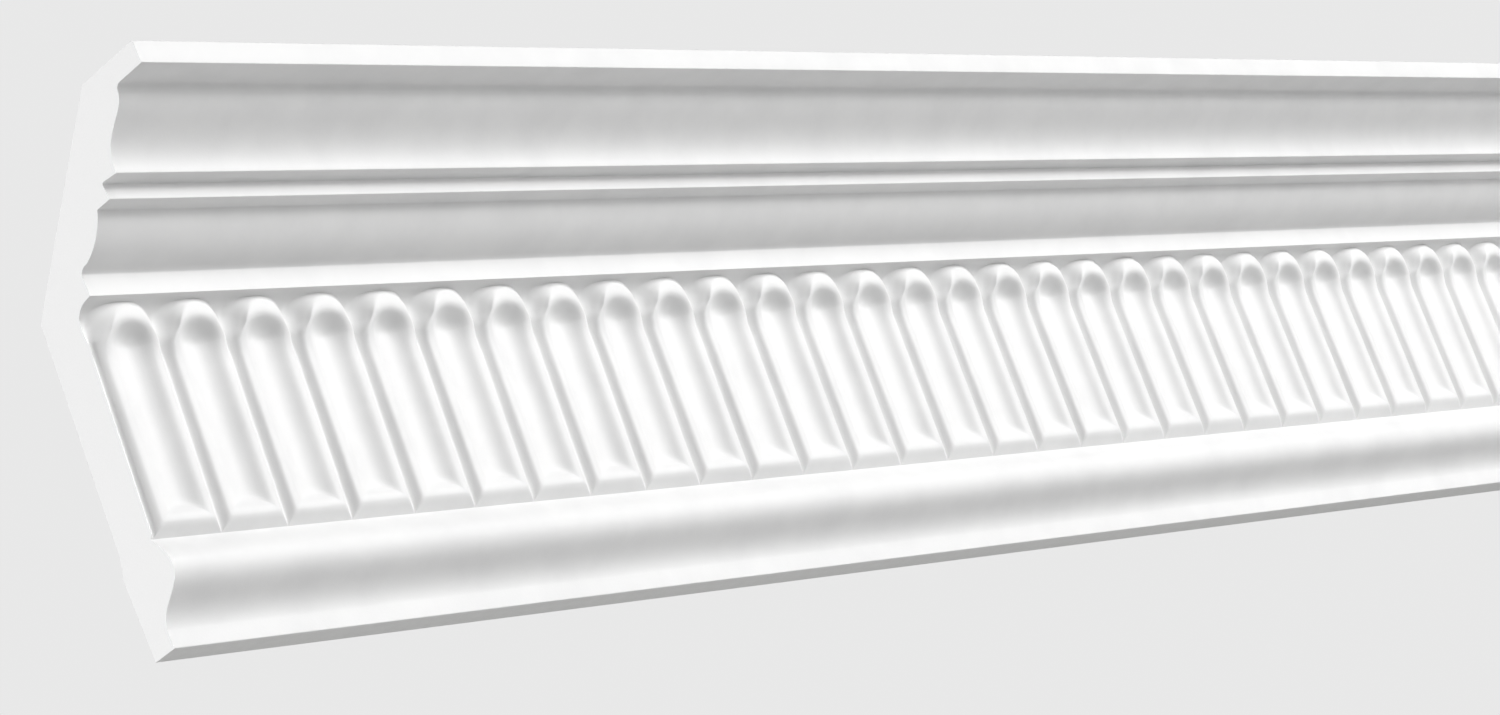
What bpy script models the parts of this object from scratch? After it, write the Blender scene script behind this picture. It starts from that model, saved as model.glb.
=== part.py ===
"""One length of cornice moulding with a row of hollowed tongues.

The run lies along X as it hangs in a room: the wall is the plane Y = 0, the room is
towards -Y and the ceiling is up. The origin is the centre of the foot face that sits
on the wall. Section points are (out, down): out from the wall, down from the ceiling.
"""
import math

import bmesh
import bpy

# Run
LENGTH = 0.990              # square cut to square cut
TONGUE_SPACING = 0.0291     # aimed spacing; the run always holds whole tongues
CUT_PAST = 0.0010           # each cut passes this far beyond the last groove

# Members of the face, from the ceiling down
LIP_HEIGHT = 0.0080         # upright front edge under the ceiling
DRIP_SOFFIT = 0.0138        # flat underside behind the lip
DRIP_COVE = 0.0022          # small hollow where that underside meets the ogee
OGEE_RUN = 0.0140
OGEE_DROP = 0.0233
UPPER_SOFFIT = 0.0067
UPPER_FASCIA = 0.0055
LOWER_SOFFIT = 0.0067
OVOLO_RUN = 0.0157
OVOLO_DROP = 0.0127
OVOLO_BULGE = 0.0024        # how far the quarter round stands off its chord
QUIRK = 0.0012              # small step under the quarter round
LOWER_FASCIA = 0.0086
CAVETTO_RUN = 0.0089        # hollow that turns the fascia into the frieze
CAVETTO_DROP = 0.0058
FRIEZE_HEIGHT = 0.0724      # upright height of the leaning ground behind the tongues
FRIEZE_LEAN = math.radians(4.8)
BEAD_SWELL = 0.0049         # bottom bead, out from the foot of the frieze
BEAD_DROP = 0.0103
CYMA_RUN = 0.0130           # from the bead's fullest point back to the bottom fillet
CYMA_DROP = 0.0174
BOTTOM_FILLET = 0.0060
UNDERSIDE = 0.0098          # flat underside, out from the wall

# Back of the section
CEILING_FACE = 0.0270       # flat top, glued to the ceiling
FOOT_HEIGHT = 0.0290        # flat foot, glued to the wall
FOOT_STEP = 0.0024          # the back steps this far off the wall above the foot
FOOT_STEP_DROP = 0.0073
KNEE_OUT = 0.0080           # where the slanting back starts, off the wall
KNEE_DOWN = 0.0544          # and below the ceiling

# Tongues, measured on the ground of the frieze
FLANK_RUN = 0.0030          # sloping side, from the groove up to the rim
RIM_WIDTH = 0.0030
RELIEF_FOOT = 0.0031        # height of the rim over the ground at the foot
RELIEF_HEAD = 0.0023        # and at the head, without its brow
BROW = 0.0026               # how much further the rim stands out at the top of a head
HEAD_RISE = 0.0215          # length of the rounded head, over half a tongue's spacing
HOLLOW_DEPTH = 0.0032       # hollow, below the rim
BEVEL_RUN = 0.0041          # face under the sill
SILL = 0.0031               # flat of the rim under the hollow
RAMP_RUN = 0.0034           # slope that closes the hollow at its foot
HEAD_MARGIN = 0.0038        # bare cavetto between a head and the fascia

# Facets
CURVE_STEPS = 8
HEAD_STEPS = 8
HOLLOW_STEPS = 3
SLIVER_STEPS = 2
COVE_STEPS = (0.0, 0.40, 0.55, 0.70, 0.85, 1.0)

PAINTED_WHITE = (0.90, 0.90, 0.89, 1.0)


def bezier(p0, p1, p2, p3, steps):
    """Points of a cubic curve, both ends included."""
    points = []
    for i in range(steps + 1):
        t = i / steps
        s = 1.0 - t
        weights = (s * s * s, 3 * s * s * t, 3 * s * t * t, t * t * t)
        points.append(tuple(sum(w * p[axis] for w, p in zip(weights, (p0, p1, p2, p3)))
                            for axis in (0, 1)))
    return points


def bulged(p0, p1, bulge, steps):
    """Points of a circular arc from p0 to p1 that stands off its chord by bulge."""
    dx, dy = p1[0] - p0[0], p1[1] - p0[1]
    chord = math.hypot(dx, dy)
    nx, ny = dy / chord, -dx / chord
    radius = (chord * chord / 4 + bulge * bulge) / (2 * bulge)
    cx = (p0[0] + p1[0]) / 2 - nx * (radius - bulge)
    cy = (p0[1] + p1[1]) / 2 - ny * (radius - bulge)
    half = math.asin(chord / 2 / radius)
    points = []
    for i in range(steps + 1):
        a = half * (2 * i / steps - 1)
        ux, uy = math.sin(a), math.cos(a)
        points.append((cx + radius * (ux * dx / chord + uy * nx),
                       cy + radius * (ux * dy / chord + uy * ny)))
    return points


# Outward positions, worked out from the wall
FRIEZE_FOOT_OUT = UNDERSIDE + CYMA_RUN - BEAD_SWELL
FRIEZE_HEAD_OUT = FRIEZE_FOOT_OUT + FRIEZE_HEIGHT * math.tan(FRIEZE_LEAN)
FASCIA_OUT = FRIEZE_HEAD_OUT + CAVETTO_RUN
OVOLO_FOOT_OUT = FASCIA_OUT + QUIRK
UPPER_FASCIA_OUT = OVOLO_FOOT_OUT + OVOLO_RUN + LOWER_SOFFIT
OGEE_FOOT_OUT = UPPER_FASCIA_OUT + UPPER_SOFFIT
PROJECTION = OGEE_FOOT_OUT + OGEE_RUN + DRIP_SOFFIT

# Downward positions, worked out from the ceiling
UPPER_SOFFIT_DOWN = LIP_HEIGHT + OGEE_DROP
LOWER_SOFFIT_DOWN = UPPER_SOFFIT_DOWN + UPPER_FASCIA
OVOLO_FOOT_DOWN = LOWER_SOFFIT_DOWN + OVOLO_DROP
FASCIA_FOOT_DOWN = OVOLO_FOOT_DOWN + LOWER_FASCIA
FRIEZE_HEAD_DOWN = FASCIA_FOOT_DOWN + CAVETTO_DROP
FRIEZE_FOOT_DOWN = FRIEZE_HEAD_DOWN + FRIEZE_HEIGHT
BEAD_DOWN = FRIEZE_FOOT_DOWN + BEAD_DROP
FILLET_DOWN = BEAD_DOWN + CYMA_DROP
HEIGHT = FILLET_DOWN + BOTTOM_FILLET

# Tongues across the run
TONGUED_LENGTH = LENGTH - 2 * CUT_PAST
TONGUES = max(1, round(TONGUED_LENGTH / TONGUE_SPACING))
PITCH = TONGUED_LENGTH / TONGUES
RIM_OUTER = PITCH / 2 - FLANK_RUN
RIM_INNER = RIM_OUTER - RIM_WIDTH
SLIVER_TURN = math.acos(1.0 - CUT_PAST / (PITCH / 2))   # where a cut leaves the next tongue's round head
FRIEZE_LENGTH = FRIEZE_HEIGHT / math.cos(FRIEZE_LEAN)


def upper_face():
    """Face from the lip down to the foot of the lower fascia."""
    ogee_head = OGEE_FOOT_OUT + OGEE_RUN
    ogee_top = LIP_HEIGHT + DRIP_COVE
    points = [(PROJECTION, 0.0), (PROJECTION, LIP_HEIGHT)]
    points += bezier((ogee_head + DRIP_COVE, LIP_HEIGHT), (ogee_head + DRIP_COVE * 0.4, LIP_HEIGHT),
                     (ogee_head, LIP_HEIGHT + DRIP_COVE * 0.4), (ogee_head, ogee_top), 3)
    drop = UPPER_SOFFIT_DOWN - ogee_top
    points += bezier((ogee_head, ogee_top), (ogee_head - OGEE_RUN * 0.07, ogee_top + drop * 0.34),
                     (OGEE_FOOT_OUT, UPPER_SOFFIT_DOWN - drop * 0.63),
                     (OGEE_FOOT_OUT, UPPER_SOFFIT_DOWN), CURVE_STEPS + 2)[1:]
    points += [(UPPER_FASCIA_OUT, UPPER_SOFFIT_DOWN), (UPPER_FASCIA_OUT, LOWER_SOFFIT_DOWN)]
    points += bulged((UPPER_FASCIA_OUT - LOWER_SOFFIT, LOWER_SOFFIT_DOWN),
                     (OVOLO_FOOT_OUT, OVOLO_FOOT_DOWN), OVOLO_BULGE, CURVE_STEPS)
    points += [(FASCIA_OUT, OVOLO_FOOT_DOWN + QUIRK * 0.8), (FASCIA_OUT, FASCIA_FOOT_DOWN)]
    return points


def lower_face():
    """Face from the foot of the frieze down to the underside."""
    bead_out = UNDERSIDE + CYMA_RUN
    points = bezier((FRIEZE_FOOT_OUT, FRIEZE_FOOT_DOWN),
                    (FRIEZE_FOOT_OUT + BEAD_SWELL * 0.31, FRIEZE_FOOT_DOWN + BEAD_DROP * 0.29),
                    (bead_out, BEAD_DOWN - BEAD_DROP * 0.42), (bead_out, BEAD_DOWN), CURVE_STEPS)
    points += bezier((bead_out, BEAD_DOWN), (bead_out, BEAD_DOWN + CYMA_DROP * 0.51),
                     (UNDERSIDE + CYMA_RUN * 0.13, FILLET_DOWN - CYMA_DROP * 0.53),
                     (UNDERSIDE, FILLET_DOWN), CURVE_STEPS + 2)[1:]
    return points + [(UNDERSIDE, HEIGHT)]


def back():
    """Back from the wall foot up to the ceiling face."""
    foot_top = HEIGHT - FOOT_HEIGHT
    return [(0.0, HEIGHT), (0.0, foot_top), (FOOT_STEP * 0.63, foot_top - FOOT_STEP_DROP * 0.41),
            (FOOT_STEP, foot_top - FOOT_STEP_DROP), (KNEE_OUT, KNEE_DOWN),
            (PROJECTION - CEILING_FACE, 0.0)]


def ground_line():
    """Ground behind the tongues, from the foot of the frieze up to the fascia.

    Each entry is (distance along the ground, out, down).
    """
    head = (FRIEZE_HEAD_OUT, FRIEZE_HEAD_DOWN)
    rise = CAVETTO_DROP * 0.56
    cove = bezier(head, (head[0] + rise * math.tan(FRIEZE_LEAN), head[1] - rise),
                  (FASCIA_OUT - CAVETTO_RUN * 0.58, FASCIA_FOOT_DOWN),
                  (FASCIA_OUT, FASCIA_FOOT_DOWN), 40)
    line = [(0.0, FRIEZE_FOOT_OUT, FRIEZE_FOOT_DOWN), (FRIEZE_LENGTH,) + head]
    for (o0, d0), (o1, d1) in zip(cove[:-1], cove[1:]):
        line.append((line[-1][0] + math.hypot(o1 - o0, d1 - d0), o1, d1))
    return line


GROUND = ground_line()
GROUND_LENGTH = GROUND[-1][0]
SPRINGING = GROUND_LENGTH - HEAD_MARGIN - HEAD_RISE
RISE_OUTER = HEAD_RISE - FLANK_RUN
RISE_INNER = RISE_OUTER - RIM_WIDTH
RAMP_FOOT = BEVEL_RUN + SILL


def ground_at(t):
    """Point of the ground at distance t, with the direction square to it."""
    for (t0, o0, d0), (t1, o1, d1) in zip(GROUND[:-1], GROUND[1:]):
        if t <= t1 or t1 == GROUND_LENGTH:
            f = (t - t0) / (t1 - t0)
            length = math.hypot(o1 - o0, d1 - d0)
            return (o0 + (o1 - o0) * f, d0 + (d1 - d0) * f), (-(d1 - d0) / length, (o1 - o0) / length)
    raise ValueError(t)


def place(x, out, down):
    """World point of a section point at distance x from the left cut."""
    return (x - LENGTH / 2, -out, HEIGHT - FOOT_HEIGHT / 2 - down)


def on_ground(x, t, z=0.0):
    """World point at distance t up the ground, raised z square to it."""
    (out, down), (n_out, n_down) = ground_at(t)
    return place(x, out + n_out * z, down + n_down * z)


def on_plane(x, t, z=0.0):
    """World point at distance t up the frieze's plane, which runs on straight behind the cavetto."""
    rise, swing = math.cos(FRIEZE_LEAN), math.sin(FRIEZE_LEAN)
    return place(x, FRIEZE_FOOT_OUT + t * swing + z * rise, FRIEZE_FOOT_DOWN - t * rise + z * swing)


def brow(t):
    """How much further the rim stands out at distance t, inside a rounded head."""
    share = min(1.0, max(0.0, (t - SPRINGING) / RISE_OUTER))
    return BROW * share * share * (3.0 - 2.0 * share)


def rim_height(t):
    """Height of the rim's top over the frieze's plane."""
    return RELIEF_FOOT + (RELIEF_HEAD - RELIEF_FOOT) * t / GROUND_LENGTH + brow(t)


def relief(rho, t):
    """Height of a tongue at distance rho from its middle line, or from its head's centre."""
    if rho >= RIM_OUTER:
        return rim_height(t) * (PITCH / 2 - rho) / FLANK_RUN
    if rho >= RIM_INNER:
        return rim_height(t)
    return rim_height(t) - (HOLLOW_DEPTH + brow(t)) * (1.0 - (rho / RIM_INNER) ** 2)


def ramp_line(rho):
    """Where the closing slope meets the hollow at distance rho from the middle line."""
    return RAMP_FOOT + RAMP_RUN * (1.0 - (rho / RIM_INNER) ** 2)


def add_face(bm, points):
    """One face from world points."""
    return bm.faces.new([bm.verts.new(p) for p in points])


def add_tongue(bm, middle):
    """Loft one tongue and the ground above its head, centred at x = middle."""
    half = PITCH / 2

    def raised(u, t):
        return on_plane(middle + u, t, relief(abs(u), t))

    add_face(bm, [on_ground(middle - half, 0.0), on_ground(middle + half, 0.0),
                  raised(RIM_OUTER, BEVEL_RUN), raised(-RIM_OUTER, BEVEL_RUN)])
    add_face(bm, [raised(-RIM_OUTER, BEVEL_RUN), raised(RIM_OUTER, BEVEL_RUN),
                  raised(RIM_OUTER, RAMP_FOOT), raised(RIM_INNER, RAMP_FOOT),
                  raised(-RIM_INNER, RAMP_FOOT), raised(-RIM_OUTER, RAMP_FOOT)])

    across = [RIM_INNER * i / HOLLOW_STEPS for i in range(-HOLLOW_STEPS, HOLLOW_STEPS + 1)]
    add_face(bm, [raised(u, ramp_line(u)) for u in reversed(across)])
    for u0, u1 in zip(across[:-1], across[1:]):
        add_face(bm, [raised(u0, ramp_line(u0)), raised(u1, ramp_line(u1)),
                      raised(u1, SPRINGING), raised(u0, SPRINGING)])
    for side in (-1.0, 1.0):
        inner, outer = side * RIM_INNER, side * RIM_OUTER
        rim = [raised(inner, RAMP_FOOT), raised(outer, RAMP_FOOT),
               raised(outer, SPRINGING), raised(inner, SPRINGING)]
        flank = [raised(outer, BEVEL_RUN), on_ground(middle + side * half, 0.0),
                 on_ground(middle + side * half, SPRINGING), raised(outer, SPRINGING),
                 raised(outer, RAMP_FOOT)]
        for ring in (rim, flank):
            add_face(bm, ring if side > 0 else ring[::-1])

    shares = [i / HOLLOW_STEPS for i in range(1, HOLLOW_STEPS + 1)]
    rings = [(RIM_INNER * share, RISE_INNER * share) for share in shares]
    rings += [(RIM_OUTER, RISE_OUTER), (half, HEAD_RISE)]
    angles = [math.pi * i / HEAD_STEPS for i in range(HEAD_STEPS + 1)]

    def at_head(rho, rise, angle):
        x, t = middle + rho * math.cos(angle), SPRINGING + rise * math.sin(angle)
        return on_ground(x, t) if rho == half else on_plane(x, t, relief(rho, t))

    def above_head(angle, share):
        edge = SPRINGING + HEAD_RISE * math.sin(angle)
        return on_ground(middle + half * math.cos(angle), edge + (GROUND_LENGTH - edge) * share)

    for a0, a1 in zip(angles[:-1], angles[1:]):
        add_face(bm, [at_head(0.0, 0.0, 0.0), at_head(*rings[0], a0), at_head(*rings[0], a1)])
        for r0, r1 in zip(rings[:-1], rings[1:]):
            add_face(bm, [at_head(*r0, a0), at_head(*r1, a0), at_head(*r1, a1), at_head(*r0, a1)])
        for s0, s1 in zip(COVE_STEPS[:-1], COVE_STEPS[1:]):
            add_face(bm, [above_head(a0, s0), above_head(a0, s1), above_head(a1, s1), above_head(a1, s0)])


def sliver_angles():
    """Turns round the next tongue's head that a sliver at a cut uses."""
    return [SLIVER_TURN * i / SLIVER_STEPS for i in range(SLIVER_STEPS + 1)]


def add_sliver(bm, cut, hand):
    """Loft the sliver of the next tongue's flank between the cut and the last groove.

    hand is 1 where the run lies on the right of the cut, -1 on the left. Returns the frieze's
    points in the plane of the cut, from the foot up.
    """
    half = PITCH / 2
    edge = half - CUT_PAST
    groove = cut + hand * CUT_PAST
    middle = groove - hand * half

    def ground_point(u, t):
        return on_ground(middle + hand * u, t)

    def cut_point(t):
        rho = half * math.hypot(edge / half, max(0.0, t - SPRINGING) / HEAD_RISE)
        return on_ground(cut, t, relief(rho, t) if rho < half else 0.0)

    share = CUT_PAST / FLANK_RUN
    hip = on_ground(cut, BEVEL_RUN * share, rim_height(BEVEL_RUN) * share)
    add_face(bm, [ground_point(half, 0.0), ground_point(edge, 0.0), hip])
    add_face(bm, [ground_point(half, 0.0), hip, cut_point(SPRINGING), ground_point(half, SPRINGING)])

    line = [ground_point(edge, 0.0), hip]
    angles = sliver_angles()
    arc = [SPRINGING + HEAD_RISE * math.sin(a) for a in angles]
    for a0, a1, t0, t1 in zip(angles[:-1], angles[1:], arc[:-1], arc[1:]):
        low, high = (ground_point(half * math.cos(a), t) for a, t in ((a0, t0), (a1, t1)))
        add_face(bm, [low, high, cut_point(t1), cut_point(t0)])
        line.append(cut_point(t0))
        for s0, s1 in zip(COVE_STEPS[:-1], COVE_STEPS[1:]):
            add_face(bm, [ground_point(half * math.cos(a), t + (GROUND_LENGTH - t) * s)
                          for a, t, s in ((a0, t0, s0), (a0, t0, s1), (a1, t1, s1), (a1, t1, s0))])
    top = arc[-1]
    return line + [on_ground(cut, top + (GROUND_LENGTH - top) * s) for s in COVE_STEPS]


def build_mesh():
    """Loft the whole run: tongued frieze, swept members and the two square cuts."""
    bm = bmesh.new()
    middles = [CUT_PAST + PITCH * (i + 0.5) for i in range(TONGUES)]
    for middle in middles:
        add_tongue(bm, middle)

    swept = lower_face() + back() + upper_face()
    for p0, p1 in zip(swept[1:-2], swept[2:-1]):
        add_face(bm, [place(0.0, *p0), place(0.0, *p1), place(LENGTH, *p1), place(LENGTH, *p0)])

    grooves = [0.0] + [CUT_PAST + PITCH * i for i in range(TONGUES + 1)] + [LENGTH]
    add_face(bm, [place(x, *swept[0]) for x in reversed(grooves)]
             + [place(0.0, *swept[1]), place(LENGTH, *swept[1])])
    near_cut = [CUT_PAST - PITCH / 2 * (1.0 - math.cos(a)) for a in reversed(sliver_angles())]
    heads = near_cut[:-1] + [middle + PITCH / 2 * math.cos(math.pi * (1.0 - i / HEAD_STEPS))
                             for middle in middles for i in range(HEAD_STEPS)]
    heads += [LENGTH - x for x in reversed(near_cut)]
    add_face(bm, [place(x, *swept[-1]) for x in heads]
             + [place(LENGTH, *swept[-2]), place(0.0, *swept[-2])])

    for cut, hand in ((0.0, 1.0), (LENGTH, -1.0)):
        frieze = add_sliver(bm, cut, hand)
        add_face(bm, [place(cut, *p) for p in swept] + frieze[-2:0:-1])

    bmesh.ops.remove_doubles(bm, verts=bm.verts, dist=1e-6)
    bmesh.ops.recalc_face_normals(bm, faces=bm.faces)
    mesh = bpy.data.meshes.new("cornice_moulding")
    bm.to_mesh(mesh)
    bm.free()
    return mesh


def primed_white():
    """Smooth white priming coat on hard foam."""
    material = bpy.data.materials.new("primed_white")
    material.use_nodes = True
    shader = material.node_tree.nodes["Principled BSDF"]
    shader.inputs["Base Color"].default_value = PAINTED_WHITE
    shader.inputs["Roughness"].default_value = 0.55
    shader.inputs["Metallic"].default_value = 0.0
    material.diffuse_color = PAINTED_WHITE
    return material


def main():
    for old in list(bpy.data.objects):
        bpy.data.objects.remove(old, do_unlink=True)
    collection = bpy.data.collections.new("Cornice moulding")
    bpy.context.scene.collection.children.link(collection)

    mesh = build_mesh()
    mesh.materials.append(primed_white())
    mesh.shade_smooth()
    mesh.set_sharp_from_angle(angle=math.radians(24.0))
    moulding = bpy.data.objects.new("cornice_moulding", mesh)
    collection.objects.link(moulding)


main()
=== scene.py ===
"""Finished surface of one length of cornice moulding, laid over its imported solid.

The run lies along X as it hangs in a room: the wall is the plane Y = 0, the room is
towards -Y and the ceiling is up. A section point is (out, down): out from the wall and
down from the ceiling. A frieze point is (across, up): across from the middle line of a
tongue, and up the ground that the tongues stand on. All sizes are in metres.
"""
from __future__ import annotations

import logging
import math
import random
from bisect import bisect_left
from collections.abc import Callable
from dataclasses import dataclass, field, replace
from enum import Enum
from functools import cached_property

import bmesh
import bpy
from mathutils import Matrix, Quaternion, Vector, noise


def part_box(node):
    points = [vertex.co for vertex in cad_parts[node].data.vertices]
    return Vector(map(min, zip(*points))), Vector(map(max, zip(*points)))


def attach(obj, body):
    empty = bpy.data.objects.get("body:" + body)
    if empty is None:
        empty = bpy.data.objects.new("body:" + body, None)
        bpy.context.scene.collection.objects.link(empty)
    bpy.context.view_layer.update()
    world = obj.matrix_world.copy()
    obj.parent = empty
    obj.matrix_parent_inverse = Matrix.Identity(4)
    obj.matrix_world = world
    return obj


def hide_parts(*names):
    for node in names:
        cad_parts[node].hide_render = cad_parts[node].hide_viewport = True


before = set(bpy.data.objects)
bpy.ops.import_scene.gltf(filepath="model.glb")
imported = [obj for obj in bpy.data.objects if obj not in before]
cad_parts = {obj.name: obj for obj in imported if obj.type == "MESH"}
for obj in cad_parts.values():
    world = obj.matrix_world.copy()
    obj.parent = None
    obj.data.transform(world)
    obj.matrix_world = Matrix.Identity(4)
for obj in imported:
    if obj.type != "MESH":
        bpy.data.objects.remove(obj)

LOG = logging.getLogger("cornice")
SOLID = "cornice_moulding"

WELD = 0.000002

Point = tuple[float, float]
Span = tuple[float, float]
Station = tuple[Point, Point, Point]
Colour = tuple[float, float, float]


class Side(Enum):
    """What a face of the moulding is, which settles its finish."""

    FACE = 0
    CUT = 1
    BACK = 2


def between(start: float, end: float, share: float) -> float:
    """Go a share of the way from one number to another."""
    return start + (end - start) * share


def bezier(p0: Point, p1: Point, p2: Point, p3: Point, steps: int) -> list[Point]:
    """Follow a cubic curve.

    Args:
        p0: Start of the curve.
        p1: First handle.
        p2: Second handle.
        p3: End of the curve.
        steps: Number of chords.

    Returns:
        The points of the curve, both ends included.
    """
    points = []
    for i in range(steps + 1):
        t = i / steps
        s = 1.0 - t
        weights = (s * s * s, 3 * s * s * t, 3 * s * t * t, t * t * t)
        points.append(tuple(sum(w * p[axis] for w, p in zip(weights, (p0, p1, p2, p3)))
                            for axis in (0, 1)))
    return points


def bulged(p0: Point, p1: Point, bulge: float, steps: int) -> list[Point]:
    """Follow a circular arc.

    Args:
        p0: Start of the arc.
        p1: End of the arc.
        bulge: How far the arc stands off its chord.
        steps: Number of chords.

    Returns:
        The points of the arc, both ends included.
    """
    dx, dy = p1[0] - p0[0], p1[1] - p0[1]
    chord = math.hypot(dx, dy)
    nx, ny = dy / chord, -dx / chord
    radius = (chord * chord / 4 + bulge * bulge) / (2 * bulge)
    cx = (p0[0] + p1[0]) / 2 - nx * (radius - bulge)
    cy = (p0[1] + p1[1]) / 2 - ny * (radius - bulge)
    half = math.asin(chord / 2 / radius)
    points = []
    for i in range(steps + 1):
        a = half * (2 * i / steps - 1)
        ux, uy = math.sin(a), math.cos(a)
        points.append((cx + radius * (ux * dx / chord + uy * nx),
                       cy + radius * (ux * dy / chord + uy * ny)))
    return points


def smooth(share: float) -> float:
    """Ease a share between 0 and 1 in and out."""
    share = min(1.0, max(0.0, share))
    return share * share * (3.0 - 2.0 * share)


def gathered(past: float, ease: float) -> float:
    """Rise evenly from zero, with the start of the rise rounded over an ease."""
    return past if past > ease else max(0.0, past + ease) ** 2 / (4 * ease)


def eased(points: list[Point], ease: float, steps: int = 3, least_turn: float = math.radians(25.0),
          most: float = 0.4) -> list[Point]:
    """Take the sharpness off the corners of an outline.

    Args:
        points: The outline, whose two ends stay where they are.
        ease: How far back along each edge a corner is rounded.
        steps: Number of chords round one corner.
        least_turn: Turn under which a corner is left as it is.
        most: Share of a short edge that the rounding may take.

    Returns:
        The eased outline.
    """
    rounded = [points[0]]
    for before, corner, after in zip(points[:-2], points[1:-1], points[2:]):
        back = Vector(before) - Vector(corner)
        ahead = Vector(after) - Vector(corner)
        turn = math.pi - back.angle(ahead)
        if turn < least_turn:
            rounded.append(corner)
            continue
        reach = min(ease, most * back.length, most * ahead.length)
        start = Vector(corner) + back.normalized() * reach
        end = Vector(corner) + ahead.normalized() * reach
        for i in range(steps + 1):
            t = i / steps
            point = start * (1 - t) ** 2 + Vector(corner) * 2 * t * (1 - t) + end * t * t
            rounded.append((point.x, point.y))
    return rounded + [points[-1]]


@dataclass(frozen=True)
class CorniceSection:
    """The constant section of the run: its members from the ceiling down, and its back.

    A pull says how far a handle of a curve reaches, as a share of the curve's run or drop.
    """

    lip_height: float = 0.0080
    drip_soffit: float = 0.0138
    drip_cove: float = 0.0022
    ogee_run: float = 0.0140
    ogee_drop: float = 0.0233
    upper_soffit: float = 0.0067
    upper_fascia: float = 0.0055
    lower_soffit: float = 0.0067
    ovolo_run: float = 0.0157
    ovolo_drop: float = 0.0127
    ovolo_bulge: float = 0.0024
    quirk: float = 0.0012
    lower_fascia: float = 0.0086
    cavetto_run: float = 0.0089
    cavetto_drop: float = 0.0058
    frieze_height: float = 0.0724
    frieze_lean: float = math.radians(4.8)
    bead_swell: float = 0.0049
    bead_drop: float = 0.0103
    cyma_run: float = 0.0130
    cyma_drop: float = 0.0174
    bottom_fillet: float = 0.0060
    underside: float = 0.0098
    ceiling_face: float = 0.0270
    foot_height: float = 0.0290
    foot_step: float = 0.0024
    foot_step_drop: float = 0.0073
    knee_out: float = 0.0080
    knee_down: float = 0.0544
    arris_ease: float = 0.00035
    drip_pull: float = 0.4
    ogee_pulls: tuple[float, float, float] = (0.07, 0.34, 0.63)
    quirk_foot: float = 0.8
    cavetto_pulls: Span = (0.56, 0.58)
    bead_pulls: tuple[float, float, float] = (0.31, 0.29, 0.42)
    cyma_pulls: tuple[float, float, float] = (0.51, 0.13, 0.53)
    foot_bend: Point = (0.63, 0.41)
    drip_steps: int = 6
    ogee_steps: int = 24
    cavetto_steps: int = 40
    cyma_steps: int = 22
    curve_steps: int = 18

    @cached_property
    def bead_out(self) -> float:
        """Fullest point of the bottom bead, out from the wall."""
        return self.underside + self.cyma_run

    @cached_property
    def frieze_foot(self) -> Point:
        """Section point where the frieze rises from the bead."""
        return self.bead_out - self.bead_swell, self.frieze_head[1] + self.frieze_height

    @cached_property
    def frieze_head(self) -> Point:
        """Section point where the leaning ground turns into the cavetto."""
        foot_out = self.bead_out - self.bead_swell
        return (foot_out + self.frieze_height * math.tan(self.frieze_lean),
                self.fascia_foot_down + self.cavetto_drop)

    @cached_property
    def fascia_out(self) -> float:
        """Face of the lower fascia, out from the wall."""
        return self.frieze_head[0] + self.cavetto_run

    @cached_property
    def ogee_foot(self) -> Point:
        """Section point where the ogee ends on its fillet."""
        out = self.fascia_out + self.quirk + self.ovolo_run + self.lower_soffit + self.upper_soffit
        return out, self.lip_height + self.ogee_drop

    @cached_property
    def lower_soffit_down(self) -> float:
        """Underside of the upper fascia, down from the ceiling."""
        return self.lip_height + self.ogee_drop + self.upper_fascia

    @cached_property
    def ovolo_foot_down(self) -> float:
        """Foot of the quarter round, down from the ceiling."""
        return self.lower_soffit_down + self.ovolo_drop

    @cached_property
    def fascia_foot_down(self) -> float:
        """Foot of the lower fascia, down from the ceiling."""
        return self.ovolo_foot_down + self.lower_fascia

    @cached_property
    def projection(self) -> float:
        """Front of the lip, out from the wall."""
        return self.ogee_foot[0] + self.ogee_run + self.drip_soffit

    @cached_property
    def height(self) -> float:
        """Drop of the whole section."""
        return self.frieze_foot[1] + self.bead_drop + self.cyma_drop + self.bottom_fillet

    def upper_face(self) -> list[Point]:
        """Run down the face from the lip to the foot of the lower fascia.

        Returns:
            The section points of that stretch.
        """
        foot_out, foot_down = self.ogee_foot
        head_out, head_down = foot_out + self.ogee_run, self.lip_height + self.drip_cove
        pull = self.drip_cove * self.drip_pull
        run_pull, head_pull, foot_pull = self.ogee_pulls
        drop = foot_down - head_down
        fascia_out = foot_out - self.upper_soffit
        points = [(self.projection, 0.0), (self.projection, self.lip_height)]
        points += bezier((head_out + self.drip_cove, self.lip_height), (head_out + pull, self.lip_height),
                         (head_out, self.lip_height + pull), (head_out, head_down), self.drip_steps)
        points += bezier((head_out, head_down),
                         (head_out - self.ogee_run * run_pull, head_down + drop * head_pull),
                         (foot_out, foot_down - drop * foot_pull), (foot_out, foot_down),
                         self.ogee_steps)[1:]
        points += [(fascia_out, foot_down), (fascia_out, self.lower_soffit_down)]
        points += bulged((fascia_out - self.lower_soffit, self.lower_soffit_down),
                         (self.fascia_out + self.quirk, self.ovolo_foot_down),
                         self.ovolo_bulge, self.curve_steps)
        points += [(self.fascia_out, self.ovolo_foot_down + self.quirk * self.quirk_foot),
                   (self.fascia_out, self.fascia_foot_down - self.arris_ease),
                   (self.fascia_out, self.fascia_foot_down)]
        return points

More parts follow.
